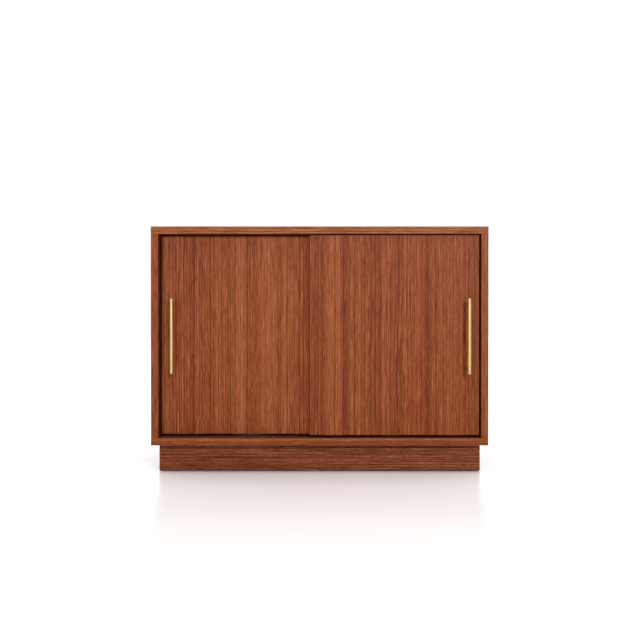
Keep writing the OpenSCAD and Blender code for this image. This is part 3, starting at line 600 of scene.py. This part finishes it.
def make_lights():
    low, high = CAD_BOX
    middle = (low + high) / 2
    left = (-KEY_SIDE, -KEY_AWAY, KEY_HEIGHT)
    right = (KEY_SIDE, -KEY_AWAY, KEY_HEIGHT)
    area_light("key_left", left, middle, KEY_SIZE, KEY_LEFT_POWER, KEY_SPREAD)
    area_light("key_right", right, middle, KEY_SIZE, KEY_RIGHT_POWER, KEY_SPREAD)
    area_light("overhead", OVERHEAD_PLACE, OVERHEAD_AIM, OVERHEAD_SIZE, OVERHEAD_POWER)


def make_camera():
    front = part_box("top_panel")[0].y
    data = bpy.data.cameras.new("camera")
    data.lens = FOCAL_LENGTH
    data.sensor_width = SENSOR_WIDTH
    data.shift_y = SHIFT_Y
    data.clip_end = FAR_CLIP
    camera = bpy.data.objects.new("camera", data)
    camera.location = (CAMERA_X, front - CAMERA_DISTANCE, CAMERA_HEIGHT)
    camera.rotation_euler = (math.radians(90 - CAMERA_PITCH), 0.0, 0.0)
    bpy.context.scene.collection.objects.link(camera)
    bpy.context.scene.camera = camera


def veneers():
    """Each board of the case with its own cut of veneer."""
    left_marks = [(30, -0.02), (62, 0.03), (86, -0.09), (104, 0.02), (136, -0.10), (150, 0.02),
                  (186, -0.03), (221, 0.07), (240, -0.01), (258, -0.03), (296, 0.11), (318, 0.01),
                  (350, 0.04), (388, -0.02), (420, 0.02), (448, -0.05)]
    right_marks = [(14, -0.07), (36, 0.00), (74, 0.09), (93, -0.09), (112, 0.01), (150, 0.02),
                   (186, -0.08), (206, 0.07), (226, -0.01), (262, 0.00), (286, 0.09),
                   (316, -0.09), (340, 0.01), (389, 0.07), (410, -0.01), (440, -0.03)]
    oval = (256, 0.262, 0.020, 0.105)
    return {
        "top_panel": veneer("veneer_top", 0, 1, 2.0, 1.06, 1.1, tint=(1.0, 1.22, 1.45),
                            inside=(2, -1)),
        "bottom_panel": veneer("veneer_bottom", 0, 1, 2.6, 0.99, tint=(1.0, 1.08, 1.25),
                               inside=(2, 1)),
        "left_side": veneer("veneer_left_side", 2, 1, 1.0, 0.985, 1.15, inside=(0, 1)),
        "right_side": veneer("veneer_right_side", 2, 1, 1.9, 0.96, 1.0, inside=(0, -1)),
        "center_divider": veneer("veneer_divider", 2, 1, 6.1, 0.8),
        "left_shelf": veneer("veneer_left_shelf", 0, 1, 7.3, 0.8),
        "right_shelf": veneer("veneer_right_shelf", 0, 1, 8.2, 0.8),
        "plinth_front": veneer("veneer_plinth_front", 0, 1, 3.0, **PLINTH_GRAIN_AND_SHADE),
        "plinth_back": veneer("veneer_plinth_back", 0, 1, 3.7, **PLINTH_GRAIN_AND_SHADE),
        "plinth_left": veneer("veneer_plinth_left", 1, 0, 9.1, **PLINTH_GRAIN_AND_SHADE),
        "plinth_right": veneer("veneer_plinth_right", 1, 0, 9.9, **PLINTH_GRAIN_AND_SHADE),
        "back_panel": veneer("veneer_back", 2, 0, 11.3, 0.95, 0.8, inside=(1, -1)),
        "left_door": veneer("veneer_left_door", 2, 0, 4.0, 1.0, 1.12,
                            figure=bands("left_door", left_marks)),
        "right_door": veneer("veneer_right_door", 2, 0, 5.0, 1.0, 1.12,
                             figure=bands("right_door", right_marks, oval)),
    }


def slot_materials():
    """One finish for each of the record's slots that isn't veneer."""
    return {
        "core_wood": plain_wood("beech_core", srgb(170, 132, 92), srgb(205, 170, 126), 3.1),
        "brass": brushed("brass_brushed", (0.65, 0.445, 0.175, 1.0), 0.46, 2),
        "bronze": brushed("bronze_lacquered", srgb(100, 55, 33), 0.6, 0, 0.05, 0.1),
        "steel": plated("zinc_plate", srgb(196, 198, 202), 0.36),
        "zinc": plated("nickel_plate", srgb(205, 204, 200), 0.28),
        "nylon": moulded("nylon_charcoal", srgb(32, 22, 18), 0.65, 0.08, 0.12),
        "black_plastic": moulded("plastic_black", srgb(26, 16, 12), 0.65, 0.2, 0.1),
        "rubber": moulded("rubber_black", srgb(36, 35, 35), 0.75, 0.12, 0.25),
    }


def dress():
    """Gives each CAD node its veneer, or the finish of its slot in the record."""
    boards = veneers()
    finishes = slot_materials()
    for name, node in NODES.items():
        finish = boards.get(name)
        for slot in node.material_slots:
            slot.material = finish or finishes[slot.material.name.split(".")[0]]
    make_springs(finishes["steel"])


def main():
    scene = bpy.context.scene
    scene.view_settings.view_transform = "Standard"
    make_camera()
    make_world()
    make_floor()
    make_lights()
    dress()


def write_sizes():
    def plain(box):
        return [list(corner) for corner in box]


main()
write_sizes()
